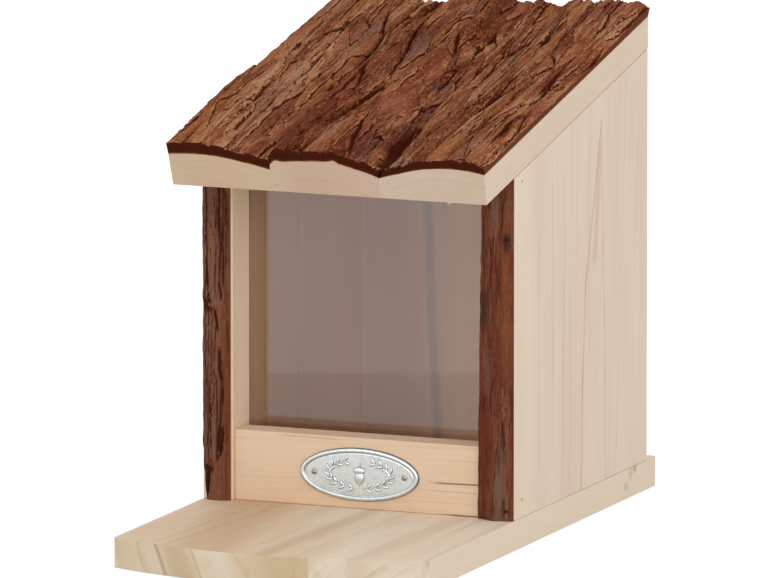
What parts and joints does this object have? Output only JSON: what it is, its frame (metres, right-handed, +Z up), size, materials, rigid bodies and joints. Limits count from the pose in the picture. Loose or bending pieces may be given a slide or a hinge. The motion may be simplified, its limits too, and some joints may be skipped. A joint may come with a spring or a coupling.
{
  "type": "squirrel feeder",
  "caption": "Pine squirrel feeder: a box with a clear front pane behind a low rail, on a long platform base, under a rear-hinged sloping roof of bark-covered slabs.",
  "frame": {"origin": "middle of the underside of the base board", "axes": "+Z up, +X to the right seen from the front, -Y towards the feeding platform at the front"},
  "size_m": [0.168, 0.328, 0.251],
  "materials": {
    "pine": "planed, unfinished",
    "pine_rail": "planed, unfinished",
    "pine_slab": "sawn, unfinished",
    "bark": "rough bark",
    "clear_acrylic": "clear sheet",
    "plate_metal": "stamped, bright",
    "zinc_steel": "zinc plated"
  },
  "bodies": {
    "box": {"base_plank_wide": "pine", "base_plank_narrow": "pine", "left_wall_panel": "pine", "right_wall_panel": "pine", "left_front_stile": "pine", "right_front_stile": "pine", "back_panel": "pine", "top_rail": "pine", "front_rail": "pine_rail", "window_pane": "clear_acrylic", "left_bark_strip": "bark", "right_bark_strip": "bark", "name_plate": "plate_metal", "plate_nails": "zinc_steel", "strip_nails": "zinc_steel", "rail_brads": "zinc_steel", "base_screws": "zinc_steel", "left_hinge_body_leaf": "zinc_steel", "right_hinge_body_leaf": "zinc_steel", "left_hinge_pin": "zinc_steel", "right_hinge_pin": "zinc_steel", "hinge_body_screws": "zinc_steel"},
    "roof": {"roof_slab_left": "pine_slab", "roof_slab_middle": "pine_slab", "roof_slab_right": "pine_slab", "roof_bark_left": "bark", "roof_bark_middle": "bark", "roof_bark_right": "bark", "left_hinge_roof_leaf": "zinc_steel", "right_hinge_roof_leaf": "zinc_steel", "hinge_roof_screws": "zinc_steel"}
  },
  "joints": [
    {"name": "roof_hinge", "type": "hinge", "parent": "box", "child": "roof", "pos_m": [0, 0.1529, 0.22684], "axis": [-1, 0, 0], "range_deg": [0, 110]}
  ]
}
